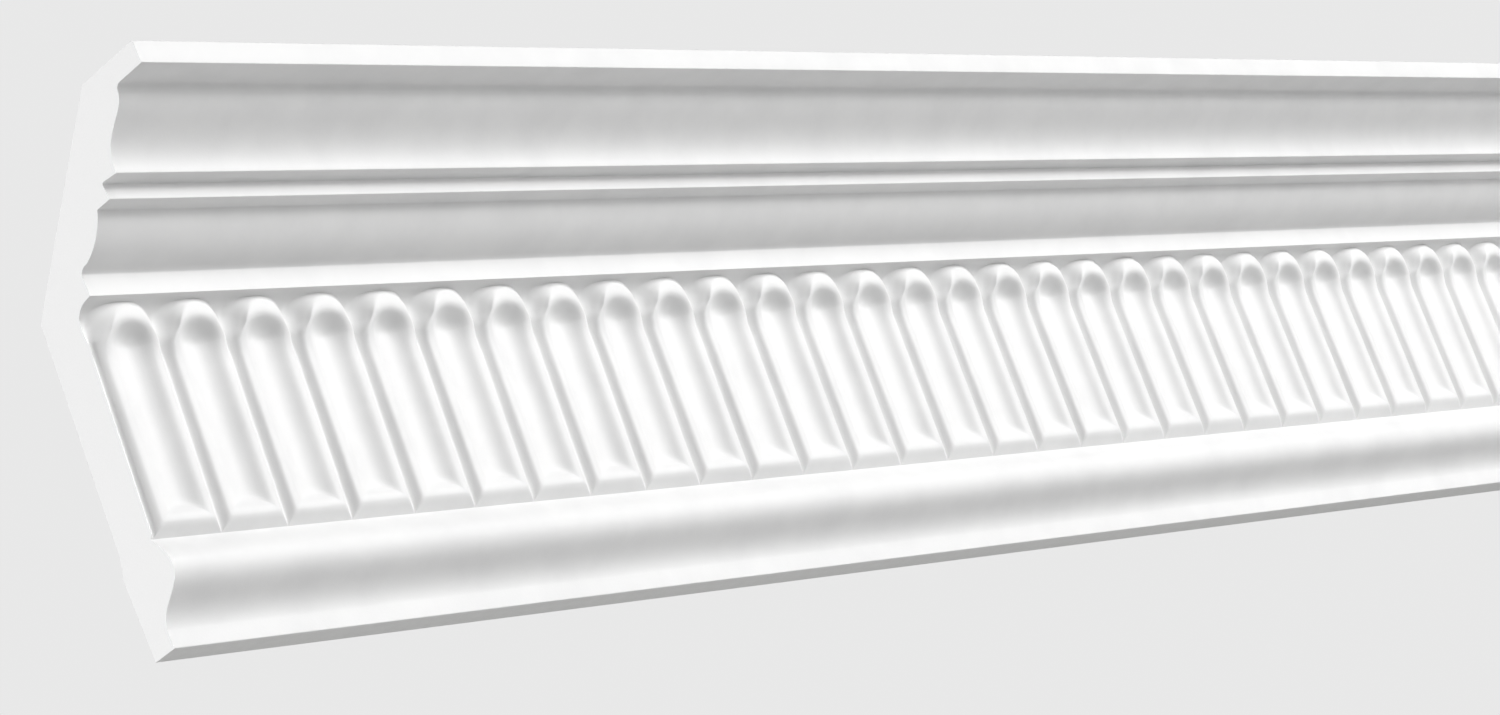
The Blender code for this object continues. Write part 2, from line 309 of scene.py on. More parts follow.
    def lower_face(self) -> list[Point]:
        """Run down the face from the foot of the frieze to the underside.

        Returns:
            The section points of that stretch.
        """
        foot_out, foot_down = self.frieze_foot
        bead_down = foot_down + self.bead_drop
        fillet_down = bead_down + self.cyma_drop
        bead_side, bead_head, bead_foot = self.bead_pulls
        cyma_head, cyma_side, cyma_foot = self.cyma_pulls
        points = bezier((foot_out, foot_down),
                        (foot_out + self.bead_swell * bead_side, foot_down + self.bead_drop * bead_head),
                        (self.bead_out, bead_down - self.bead_drop * bead_foot),
                        (self.bead_out, bead_down), self.curve_steps)
        points += bezier((self.bead_out, bead_down),
                         (self.bead_out, bead_down + self.cyma_drop * cyma_head),
                         (self.underside + self.cyma_run * cyma_side,
                          fillet_down - self.cyma_drop * cyma_foot),
                         (self.underside, fillet_down), self.cyma_steps)[1:]
        return points + [(self.underside, self.height)]

    def back(self) -> list[Point]:
        """Run up the back from the wall foot to the ceiling face.

        Returns:
            The section points of that stretch.
        """
        foot_top = self.height - self.foot_height
        bend_out, bend_down = self.foot_bend
        return [(0.0, self.height), (0.0, foot_top),
                (self.foot_step * bend_out, foot_top - self.foot_step_drop * bend_down),
                (self.foot_step, foot_top - self.foot_step_drop), (self.knee_out, self.knee_down),
                (self.projection - self.ceiling_face, 0.0)]

    @cached_property
    def ground(self) -> list[tuple[float, float, float]]:
        """Ground behind the tongues as (distance up it, out, down), from its foot to the fascia."""
        head = self.frieze_head
        rise_pull, run_pull = self.cavetto_pulls
        rise = self.cavetto_drop * rise_pull
        cove = bezier(head, (head[0] + rise * math.tan(self.frieze_lean), head[1] - rise),
                      (self.fascia_out - self.cavetto_run * run_pull, self.fascia_foot_down),
                      (self.fascia_out, self.fascia_foot_down), self.cavetto_steps)
        line = [(0.0, *self.frieze_foot),
                (self.frieze_height / math.cos(self.frieze_lean), *head)]
        for (out0, down0), (out1, down1) in zip(cove[:-1], cove[1:]):
            line.append((line[-1][0] + math.hypot(out1 - out0, down1 - down0), out1, down1))
        return line

    def over_plane(self, up: float, raised: float) -> Point:
        """Find a section point over the frieze's plane, which runs on straight behind the cavetto.

        Args:
            up: Distance up the plane from its foot.
            raised: Height square to the plane.

        Returns:
            The section point.
        """
        rise, swing = math.cos(self.frieze_lean), math.sin(self.frieze_lean)
        out, down = self.frieze_foot
        return out + up * swing + raised * rise, down - up * rise + raised * swing

    def off_plane(self, up: float) -> tuple[float, float]:
        """Find where a point of the ground lies over the frieze's plane.

        Args:
            up: Distance up the ground from its foot.

        Returns:
            Its distance up the plane, and its height square to the plane.
        """
        rise, swing = math.cos(self.frieze_lean), math.sin(self.frieze_lean)
        out, down = self.ground_at(up)[0]
        away, over = out - self.frieze_foot[0], self.frieze_foot[1] - down
        return over * rise + away * swing, away * rise - over * swing

    def ground_at(self, up: float) -> tuple[Point, Point]:
        """Find a point of the ground.

        Args:
            up: Distance up the ground from its foot.

        Returns:
            The section point there, and the direction square to the ground.
        """
        i = min(max(bisect_left(self.ground, (up,)), 1), len(self.ground) - 1)
        (up0, out0, down0), (up1, out1, down1) = self.ground[i - 1], self.ground[i]
        share = (up - up0) / (up1 - up0)
        length = math.hypot(out1 - out0, down1 - down0)
        point = (between(out0, out1, share), between(down0, down1, share))
        return point,(-(down1 - down0) / length, (out1 - out0) / length)


@dataclass(frozen=True)
class TongueShape:
    """The form of one tongue, which differs a little from its neighbours as carved ones do."""

    half_pitch: float
    springing: float
    ground_length: float
    side_turn: float
    flank_run: float = 0.0030
    rim_width: float = 0.0032
    relief_foot: float = 0.0031
    relief_head: float = 0.0023
    shared_relief: Span = (relief_foot, relief_head)
    brow: float = 0.0037
    brow_start: float = 0.0049
    hollow_depth: float = 0.0032
    bevel_run: float = 0.0041
    sill: float = 0.0031
    ramp_run: float = 0.0034
    ramp_meeting: float = 5.0
    groove_ease: float = 0.16
    foot_fade: float = 0.002
    head_fade: float = 0.005
    rim_ease: float = 0.30
    lip_ease: float = 0.0017
    corner_round: float = 0.0011
    head_rise: float = 0.0164
    head_side: float = 0.0061
    head_roundness: float = 0.85
    head_squash: float = 0.0012
    neck: Span = (0.0112, 0.0104)
    neck_turn: float = math.radians(30.0)
    crown: float = 0.0138
    crown_turn: Span = (math.radians(64.0), math.radians(90.0))
    shoulder_hollow: float = 1.1
    crown_filling: float = 0.85

    @cached_property
    def rim_outer(self) -> float:
        """Outer edge of the rim, from the middle line."""
        return self.half_pitch - self.flank_run

    @cached_property
    def rim_inner(self) -> float:
        """Inner edge of the rim, from the middle line."""
        return self.rim_outer - self.rim_width

    @cached_property
    def hollow_foot(self) -> float:
        """Where the hollow starts, up the ground."""
        return self.bevel_run + self.sill

    def ramp_line(self, across: float) -> float:
        """Where the closing slope meets the hollow, up the ground."""
        return self.hollow_foot + self.ramp_run * (1.0 - (across / self.rim_inner) ** 2)

    def footprint(self, turn: float) -> Point:
        """Find where the groove passes round the head, squarer than the rim inside it.

        Args:
            turn: Angle round the head's centre, from the right springing.

        Returns:
            The frieze point.
        """
        hand = 1.0 if turn <= math.pi / 2 else -1.0
        turn = min(turn, math.pi - turn)
        if turn <= self.side_turn:
            return hand * self.half_pitch, self.springing + self.head_side * turn / self.side_turn
        corner = math.pi / 2 * (turn - self.side_turn) / (math.pi / 2 - self.side_turn)
        across = max(0.0, math.cos(corner)) ** self.head_roundness
        rise = math.sin(corner) ** self.head_roundness
        return (hand * self.half_pitch * across,
                self.springing + self.head_side + (self.head_rise - self.head_side) * rise)

    def rounded(self, reach: float, turn: float) -> float:
        """Find how far out a point of the rim lies on the head, narrow at its neck, wide at its crown.

        Args:
            reach: Distance of the point from the head's centre at the springing.
            turn: Angle round the head's centre.

        Returns:
            Its distance from the centre there.
        """
        if reach <= self.rim_inner:
            return reach
        hand = 0 if turn <= math.pi / 2 else 1
        turn = min(turn, math.pi - turn)
        neck, crown_turn = self.neck[hand], self.crown_turn[hand]
        edge = between(self.rim_outer, neck, smooth(turn / self.neck_turn))
        edge += (self.crown - neck) * smooth((turn - self.neck_turn) / (crown_turn - self.neck_turn))
        return self.rim_inner + (reach - self.rim_inner) * (edge - self.rim_inner) / self.rim_width

    def steepness(self, turn: float) -> float:
        """Find how the flank steepens towards the rim, most of all at the head's neck.

        Args:
            turn: Angle round the head's centre.

        Returns:
            The power that its height follows.
        """
        turn = min(turn, math.pi - turn)
        crown = smooth((turn - self.neck_turn) / (math.pi / 2 - self.neck_turn))
        shoulder = self.shoulder_hollow * smooth(turn / self.neck_turn)
        return 1.0 + shoulder * (1.0 - self.crown_filling * crown)

    def brow_at(self, up: float) -> float:
        """How much further the rim stands out, inside a rounded head."""
        start = self.springing - self.brow_start
        return self.brow * smooth((up - start) / (self.brow_start + self.rim_inner))

    def rim_at(self, up: float) -> float:
        """Height of the rim's top over the frieze's plane."""
        return between(self.relief_foot, self.relief_head, up / self.ground_length) + self.brow_at(up)

    def swelling(self, ring: float, up: float) -> float:
        """Find how far the solid tongue, without its hollow, stands at a ring.

        Args:
            ring: 0 on the groove, 1 on the outer edge of the rim, 2 on its inner edge.
            up: Distance up the ground, where the groove's ease fades in from the foot.

        Returns:
            The height over the ground.
        """
        rim = self.rim_at(up)
        if ring > 1.0 - self.rim_ease:
            past = max(0.0, 1.0 + self.rim_ease - ring)
            return rim * (1.0 - past * past / (4 * self.rim_ease))
        if ring >= self.groove_ease:
            return rim * ring
        shared = between(*self.shared_relief, up / self.ground_length)
        rim = shared + (rim - shared) * ring / self.groove_ease
        fade = max(0.0, min(1.0, up / self.foot_fade, (self.springing - up) / self.head_fade))
        soft = (ring * ring + self.groove_ease ** 2) / (2 * self.groove_ease)
        return rim * (fade * soft + (1.0 - fade) * ring)

    def sinking(self, reach: float, up: float) -> float:
        """Find how deep the hollow is.

        Args:
            reach: Distance from the middle line, or from the head's centre.
            up: Distance up the ground.

        Returns:
            The depth under the rim.
        """
        inward = self.rim_inner - reach
        depth = self.hollow_depth + self.brow_at(up)
        side = 2 * depth / self.rim_inner * gathered(inward, self.lip_ease)
        side -= depth * (max(0.0, inward) / self.rim_inner) ** 2
        foot = self.hollow_depth / self.ramp_run * gathered(up - self.hollow_foot, self.lip_ease)
        if side <= 0.0 or foot <= 0.0:
            return 0.0
        return (side ** -self.ramp_meeting + foot ** -self.ramp_meeting) ** (-1.0 / self.ramp_meeting)

    def height(self, ring: float, reach: float, up: float) -> float:
        """Find how far the tongue stands off the ground.

        Args:
            ring: Ring of the point, see swelling.
            reach: Distance from the middle line, or from the head's centre.
            up: Distance up the ground.

        Returns:
            The height over the ground.
        """
        return self.swelling(ring, up) - self.sinking(reach, up)


@dataclass
class TongueFrieze:
    """The row of tongues, each a round-headed raised rim about a long hollow."""

    section: CorniceSection
    length: float
    tongue_spacing: float = 0.0291
    head_margin: float = 0.0038
    cut_past: float = 0.0010
    varied: tuple[str, ...] = ("flank_run", "rim_width", "relief_foot", "relief_head", "brow",
                               "hollow_depth", "bevel_run", "sill", "ramp_run")
    hand_variation: float = 0.05
    seed: int = 11
    row_spacing: float = 0.55
    sliver_steps: int = 5
    sliver_rings: int = 3
    rings: tuple[float, ...] = (0.0, 0.06, 0.16, 0.4, 0.62, 0.76, 0.88, 1.0, 1.12, 1.26,
                                1.5, 1.72, 1.88, 2.0)
    hollow_columns: tuple[float, ...] = (1.0, 0.95, 0.89, 0.8, 0.68, 0.54, 0.37, 0.19, 0.0)
    side_rows: int = 20
    head_steps: int = 30
    head_side_steps: int = 5
    ramp_steps: int = 5
    corner_steps: int = 3
    cove_rows: tuple[float, ...] = (0.0, 0.12, 0.24, 0.34, 0.44, 0.54, 0.64, 0.74, 0.83, 0.92, 1.0)
    faces: list[list[Vector]] = field(default_factory=list)

    @cached_property
    def tongued_length(self) -> float:
        """Length between the first groove and the last."""
        return self.length - 2 * self.cut_past

    @cached_property
    def count(self) -> int:
        """Whole tongues in the run."""
        return max(1, round(self.tongued_length / self.tongue_spacing))

    @cached_property
    def pitch(self) -> float:
        """Distance from tongue to tongue."""
        return self.tongued_length / self.count

    def middle(self, number: int) -> float:
        """Middle line of a tongue, from the left cut."""
        return self.cut_past + self.pitch * (number + 0.5)

    @cached_property
    def top(self) -> float:
        """Foot of the fascia, up the ground."""
        return self.section.ground[-1][0]

    def shape(self, chance: random.Random) -> TongueShape:
        """Give one tongue its sizes.

        Args:
            chance: Source of the small differences between tongues.

        Returns:
            The form of the tongue.
        """
        def near(size: float) -> float:
            """Vary a size by hand."""
            return size * (1.0 + self.hand_variation * chance.uniform(-1.0, 1.0))

        return replace(self.plain, **{name: near(getattr(self.plain, name)) for name in self.varied})

    @cached_property
    def plain(self) -> TongueShape:
        """A tongue without the small differences of the hand."""
        springing = self.top - self.head_margin - TongueShape.head_rise
        return TongueShape(self.pitch / 2, springing, self.top,
                           math.pi * self.head_side_steps / self.head_steps)

    def place(self, along: float, up: float, raised: float = 0.0) -> Vector:
        """Find a point over the ground.

        Args:
            along: Distance from the left cut.
            up: Distance up the ground.
            raised: Height square to the ground.

        Returns:
            The point in the room.
        """
        (out, down), (n_out, n_down) = self.section.ground_at(up)
        return placed(self.section, self.length, along, out + n_out * raised, down + n_down * raised)

    def place_over(self, along: float, up: float, raised: float) -> Vector:
        """Find a point over the frieze's plane, which runs on straight behind the cavetto.

        Args:
            along: Distance from the left cut.
            up: Distance up the plane.
            raised: Height square to the plane.

        Returns:
            The point in the room.
        """
        return placed(self.section, self.length, along, *self.section.over_plane(up, raised))

    def loft(self, rows: list[list[Vector]]) -> None:
        """Join each row of points to the next with faces."""
        for one, two in zip(rows[:-1], rows[1:]):
            for j in range(len(one) - 1):
                self.faces.append([one[j], two[j], two[j + 1], one[j + 1]])

    def side_stations(self, shape: TongueShape) -> list[Station]:
        """List the stations round a tongue from the foot's middle up its right side to the springing.

        Args:
            shape: The tongue.

        Returns:
            For each station its points on the groove and on the rim's outer and inner edges.
        """
        half, outer, inner = shape.half_pitch, shape.rim_outer, shape.rim_inner
        corner = shape.corner_round
        stations = []
        for share in reversed(self.hollow_columns):
            stations.append(((half * share, 0.0), ((outer - corner) * share, shape.bevel_run),
                             (inner * share, shape.hollow_foot)))
        for i in range(1, self.corner_steps + 1):
            a = math.pi / 2 * i / self.corner_steps
            stations.append(((half, 0.0), (outer - corner + corner * math.sin(a),
                                           shape.bevel_run + corner * (1 - math.cos(a))),
                             (inner, shape.hollow_foot)))
        rim_foot = shape.bevel_run + corner
        for i in range(1, self.side_rows + 1):
            share = i / self.side_rows
            share *= between(self.row_spacing, 1.0, share)
            stations.append(((half, shape.springing * share),
                             (outer, between(rim_foot, shape.springing, share)),
                             (inner, between(shape.hollow_foot, shape.springing, share))))
        return stations

    def add_tongue(self, middle: float, shape: TongueShape) -> None:
        """Loft one tongue.

        Args:
            middle: Its middle line, from the left cut.
            shape: Its form.
        """
        def raised(ring: float, across: float, up: float) -> Vector:
            """Point of the tongue at a ring."""
            return self.place(middle + across, up, shape.height(ring, abs(across), up))

        def at_ring(station: Station, ring: float, hand: float) -> Vector:
            """Point of a station at a ring, on the right (1) or left (-1) side."""
            start, end = station[:2] if ring <= 1.0 else station[1:]
            share = ring if ring <= 1.0 else ring - 1.0
            return raised(ring, hand * between(start[0], end[0], share),
                          between(start[1], end[1], share))

        stations = self.side_stations(shape)
        for hand in (1.0, -1.0):
            self.loft([[at_ring(station, ring, hand) for ring in self.rings] for station in stations])
            self.add_hollow(raised, shape, stations, hand)
        self.add_head(middle, shape)

    def add_hollow(self, raised: Callable[[float, float, float], Vector], shape: TongueShape,
                   stations: list[Station], hand: float) -> None:
        """Loft one half of a hollow below its round head.

        Args:
            raised: Function that gives a point of the tongue.
            shape: The tongue.
            stations: Its stations, whose last ones climb the inner edge of the rim.
            hand: 1 for the right half, -1 for the left.
        """
        foot = shape.hollow_foot
        climb = [(s[2][1] - foot) / (shape.springing - foot) for s in stations[-self.side_rows:]]
        slope = [i / self.ramp_steps for i in range(self.ramp_steps + 1)]
        acrosses = [shape.rim_inner * column for column in self.hollow_columns]
        self.loft([[raised(2.0, hand * x, between(foot, shape.ramp_line(x), share)) for x in acrosses]
                   for share in slope])
        self.loft([[raised(2.0, hand * x, between(shape.ramp_line(x), shape.springing, share))
                    for x in acrosses] for share in [0.0] + climb])

    def add_head(self, middle: float, shape: TongueShape) -> None:
        """Loft the round head of a tongue and the bare cavetto above it.

        Args:
            middle: Middle line of the tongue, from the left cut.
            shape: Its form.
        """
        half, outer, inner = shape.half_pitch, shape.rim_outer, shape.rim_inner
        reaches = [(ring, between(half, outer, ring)) for ring in self.rings if ring <= 1.0]
        reaches += [(ring, between(outer, inner, ring - 1.0)) for ring in self.rings if ring > 1.0]
        reaches += [(2.0, inner * column) for column in self.hollow_columns[1:]]
        turns = [math.pi * i / self.head_steps for i in range(self.head_steps + 1)]
        self.loft([[self.head_point(middle, shape, ring, reach, turn) for ring, reach in reaches]
                   for turn in turns])
        self.add_bare_cove(middle, turns[self.head_side_steps:len(turns) - self.head_side_steps])

    def head_point(self, middle: float, shape: TongueShape, ring: float, reach: float,
                   turn: float, hand: float = 1.0) -> Vector:
        """Find a point of a rounded head, whose groove lies on the curved ground.

        Args:
            middle: Middle line of the tongue, from the left cut.
            shape: Its form.
            ring: 0 on the groove, 1 on the outer edge of the rim, 2 on its inner edge.
            reach: Distance from the head's centre at the springing.
            turn: Angle round the head's centre.
            hand: 1, or -1 to mirror it.

        Returns:
            The point in the room.
        """
        groove_across, groove = shape.footprint(turn)
        groove_up, groove_raised = self.section.off_plane(groove)
        reach = shape.rounded(min(reach, shape.rim_outer), turn)
        squash = shape.head_squash * min(1.0, reach / shape.rim_inner)
        up = shape.springing + (reach - squash) * math.sin(turn)
        rim = shape.rim_at(up)
        swell = (shape.swelling(ring, up) / rim) ** shape.steepness(turn)
        raised = between(groove_raised, rim, swell) - shape.sinking(reach, up)
        share = max(0.0, 1.0 - ring)
        across = between(reach * math.cos(turn), groove_across, share)
        return self.place_over(middle + hand * across, between(up, groove_up, share), raised)

    def sliver_turns(self) -> list[float]:
        """Turns round the next tongue's head, from its springing to where a cut leaves it."""
        plain = self.plain
        left = (1.0 - self.cut_past / plain.half_pitch) ** (1.0 / plain.head_roundness)
        last = plain.side_turn + math.acos(left) * (1.0 - plain.side_turn / (math.pi / 2))
        turns = [plain.side_turn * i / self.head_side_steps for i in range(self.head_side_steps)]
        past = last - plain.side_turn
        return turns + [plain.side_turn + past * i / self.sliver_steps
                        for i in range(self.sliver_steps + 1)]

    def sliver_foot(self) -> list[float]:
        """Distances across the next tongue at its foot, from a cut to the groove."""
        half = self.pitch / 2
        inside = [half * c for c in reversed(self.hollow_columns) if half * c > half - self.cut_past]
        return [half - self.cut_past, *inside]

    def add_sliver(self, cut: float, hand: float) -> None:
        """Loft the sliver of the next tongue's flank between a cut and the last groove.

        Args:
            cut: Where the cut is, from the left cut.
            hand: 1 where the run lies on the right of the cut, -1 on the left.
        """
        whole = self.plain
        edge = whole.half_pitch - self.cut_past
        middle = cut - hand * edge
        shares = [j / self.sliver_rings for j in range(self.sliver_rings + 1)]

        def on_side(start: Point, end: Point, ring: float) -> Vector:
            """Point of the next tongue's side at a ring."""
            up = between(start[1], end[1], ring)
            return self.place(middle + hand * between(start[0], end[0], ring), up,
                              whole.swelling(ring, up))

        rim = whole.rim_outer - whole.corner_round
        sides = [((across, 0.0), (rim * across / whole.half_pitch, whole.bevel_run))
                 for across in self.sliver_foot()]
        sides += [station[:2] for station in self.side_stations(whole)[len(self.hollow_columns):]]
        rows = []
        for start, end in sides:
            last = (start[0] - edge) / (start[0] - end[0])
            rows.append([on_side(start, end, last * share) for share in shares])
        for turn in self.sliver_turns()[1:]:
            groove = whole.footprint(turn)[0]
            rim = whole.rounded(whole.rim_outer, turn) * math.cos(turn)
            last = max(0.0, (groove - edge) / (groove - rim))
            rows.append([self.head_point(middle, whole, last * share, whole.rim_outer, turn, hand)
                         for share in shares])
        self.loft(rows)
        self.add_bare_cove(middle, self.sliver_turns()[self.head_side_steps:], hand)

    def add_bare_cove(self, middle: float, turns: list[float], hand: float = 1.0) -> None:
        """Loft the bare cavetto above a round head.

        Args:
            middle: Middle line of the tongue, from the left cut.
            turns: Turns round the head.
            hand: 1, or -1 to mirror it.
        """
        feet = [self.plain.footprint(turn) for turn in turns]
        self.loft([[self.place(middle + hand * across, between(up, self.top, share))
                    for across, up in feet] for share in self.cove_rows])

    def mirrored_ends(self, near_cut: list[float], inner: list[float]) -> list[float]:
        """Join the distances beside both cuts to those between."""
        far_cut = [self.length - x for x in near_cut]
        return sorted({round(x, 9) for x in near_cut + inner + far_cut})

    def foot_line(self) -> list[float]:
        """Distances along the foot of the frieze that its faces use, from the left cut."""
        half = self.pitch / 2
        shares = [-c for c in self.hollow_columns] + list(self.hollow_columns)
        inner = [self.middle(i) + half * share for i in range(self.count) for share in shares]
        return self.mirrored_ends([across - half + self.cut_past for across in self.sliver_foot()], inner)

    def head_line(self) -> list[float]:
        """Distances along the foot of the fascia that the faces use, from the left cut."""
        plain = self.plain
        turns = range(self.head_side_steps, self.head_steps - self.head_side_steps + 1)
        acrosses = [plain.footprint(math.pi * i / self.head_steps)[0] for i in turns]
        inner = [self.middle(i) + across for i in range(self.count) for across in acrosses]
        near_cut = [self.cut_past - plain.half_pitch + plain.footprint(turn)[0]
                    for turn in self.sliver_turns()[self.head_side_steps:]]
        return self.mirrored_ends(near_cut, inner)

    def build(self) -> list[list[Vector]]:
        """Loft every tongue of the run and the slivers beside the cuts.

        Returns:
            The faces, as rings of points.
        """
        chance = random.Random(self.seed)
        for i in range(self.count):
            self.add_tongue(self.middle(i), self.shape(chance))
        self.add_sliver(0.0, 1.0)
        self.add_sliver(self.length, -1.0)
        return self.faces


def placed(section: CorniceSection, length: float, along: float, out: float, down: float) -> Vector:
    """Turn a section point into a point in the room.

    Args:
        section: The section, whose foot is centred on the origin.
        length: Length of the run.
        along: Distance from the left cut.
        out: Out from the wall.
        down: Down from the ceiling.

    Returns:
        The point in the room.
    """
    return Vector((along - length / 2, -out, section.height - section.foot_height / 2 - down))


@dataclass(frozen=True)
class Grain:
    """A noise in a finish: its grains to a metre, and the number and strength of finer layers."""

    scale: float
    detail: float
    roughness: float


@dataclass(frozen=True)
class PrimedSkin:
    """Sprayed white primer on the moulded face: matt to satin, with a very fine grain."""

    name: str = "primed_white_skin"
    colour: Colour = (0.75, 0.75, 0.748)
    dull_colour: Colour = (0.71, 0.71, 0.71)
    roughness: Span = (0.46, 0.60)
    specular: float = 0.4
    grain: Grain = Grain(1400.0, 3.0, 0.6)
    grain_height: float = 0.00002
    clouds: Grain = Grain(45.0, 4.0, 0.55)
    cloud_span: Span = (0.3, 0.6)

    def material(self) -> bpy.types.Material:
        """Make the finish.

        Returns:
            The material.
        """
        made = NodeBench(self.name)
        clouds = made.spread(self.clouds)
        made.tint(made.ranged(clouds, self.cloud_span, (0.0, 1.0)), self.dull_colour, self.colour)
        made.link(made.ranged(clouds, (0.0, 1.0), self.roughness), made.shader.inputs["Roughness"])
        made.bump(made.spread(self.grain), self.grain_height)
        made.shader.inputs["Specular IOR Level"].default_value = self.specular
        return made.material


@dataclass(frozen=True)
class SawnFoam:
    """Bare hard foam where the length was sawn off: whiter than the skin and finely pitted."""

    name: str = "sawn_white_foam"
    colour: Colour = (0.97, 0.97, 0.97)
    pore_colour: Colour = (0.91, 0.91, 0.91)
    roughness: float = 0.85
    specular: float = 0.2
    pores: Grain = Grain(1800.0, 2.0, 0.5)
    pore_depth: float = 0.00002

    def material(self) -> bpy.types.Material:
        """Make the finish.

        Returns:
            The material.
        """
        made = NodeBench(self.name)
        pores = made.spread(self.pores)
        made.tint(pores, self.pore_colour, self.colour)
        made.bump(pores, self.pore_depth)
        made.shader.inputs["Roughness"].default_value = self.roughness
        made.shader.inputs["Specular IOR Level"].default_value = self.specular
        return made.material


@dataclass(frozen=True)
class CastBack:
    """The hidden back as it leaves the mould: duller, with a coarser orange-peel surface."""

    name: str = "cast_white_back"
    colour: Colour = (0.80, 0.80, 0.79)
    dull_colour: Colour = (0.73, 0.73, 0.72)
    roughness: float = 0.7
    peel: Grain = Grain(260.0, 4.0, 0.6)
    peel_height: float = 0.00006

    def material(self) -> bpy.types.Material:
        """Make the finish.

        Returns:
            The material.
        """
        made = NodeBench(self.name)
        peel = made.spread(self.peel)
        made.tint(peel, self.dull_colour, self.colour)
        made.bump(peel, self.peel_height)
        made.shader.inputs["Roughness"].default_value = self.roughness
        return made.material


class NodeBench:
    """A material under construction."""

    def __init__(self, name: str) -> None:
        """Start a material.

        Args:
            name: Name of the material.
        """
        self.material = bpy.data.materials.new(name)
        self.material.use_nodes = True
        self.tree = self.material.node_tree
        self.shader = self.tree.nodes["Principled BSDF"]

    def add(self, kind: str, data_type: str = "",
            **sockets: float | tuple[float, ...]) -> bpy.types.Node:
        """Add a node.

        Args:
            kind: Type of the node.
            data_type: Kind of value that a mix works on.
            sockets: Values for its inputs, by name.

        Returns:
            The node.
        """
        node = self.tree.nodes.new(kind)
        if data_type:
            node.data_type = data_type
        for socket, value in sockets.items():
            node.inputs[socket].default_value = value
        return node

    def link(self, start: bpy.types.NodeSocket, end: bpy.types.NodeSocket) -> None:
        """Join two sockets."""
        self.tree.links.new(start, end)

    def spread(self, grain: Grain) -> bpy.types.NodeSocket:
        """Spread a grain through the piece.

        Args:
            grain: The grain.

        Returns:
            The socket that gives its strength from point to point.
        """
        node = self.add("ShaderNodeTexNoise", Scale=grain.scale, Detail=grain.detail,
                        Roughness=grain.roughness)
        self.link(self.add("ShaderNodeTexCoord").outputs["Object"], node.inputs["Vector"])
        return node.outputs["Fac"]

    def ranged(self, value: bpy.types.NodeSocket, start: Span, end: Span) -> bpy.types.NodeSocket:
        """Move a value from one range to another.

        Args:
            value: Socket that gives the value.
            start: Range that it has.
            end: Range that it gets.

        Returns:
            The socket that gives the moved value.
        """
        limits = dict(zip(("From Min", "From Max", "To Min", "To Max"), (*start, *end)))
        node = self.add("ShaderNodeMapRange", **limits)
        self.link(value, node.inputs["Value"])
        return node.outputs["Result"]

    def tint(self, share: bpy.types.NodeSocket, low: Colour, high: Colour) -> None:
        """Colour the surface between two tones.

        Args:
            share: Socket that gives how much of the second tone shows.
            low: First tone.
            high: Second tone.
        """
        tone = self.add("ShaderNodeMix", data_type="RGBA", A=(*low, 1.0), B=(*high, 1.0))
        self.link(share, tone.inputs["Factor"])
        self.link(tone.outputs["Result"], self.shader.inputs["Base Color"])

    def bump(self, height: bpy.types.NodeSocket, distance: float) -> None:
        """Raise the surface.

        Args:
            height: Socket that gives the height.
            distance: Height of the tallest point.
        """
        node = self.add("ShaderNodeBump", Strength=1.0, Distance=distance)
        self.link(height, node.inputs["Height"])
        self.link(node.outputs["Normal"], self.shader.inputs["Normal"])


@dataclass(frozen=True)
class Nick:
    """A crumb broken out of the sharp front edge of the left cut."""

    out: float
    down: float
    reach: float
    depth: float

    def sink(self, bm: bmesh.types.BMesh, centre: Vector) -> None:
        """Dent the edge in towards the middle of the section.

        Args:
            bm: Mesh of the moulding, with its normals up to date.
            centre: Point of the cut edge where the crumb is missing.
        """
        for vertex in bm.verts:
            distance = (vertex.co - centre).length
            inward = Vector((0.0, -vertex.normal.y, -vertex.normal.z))
            if distance < self.reach and inward.length > 0.1:
                vertex.co += inward.normalized() * self.depth * (1.0 - distance / self.reach)


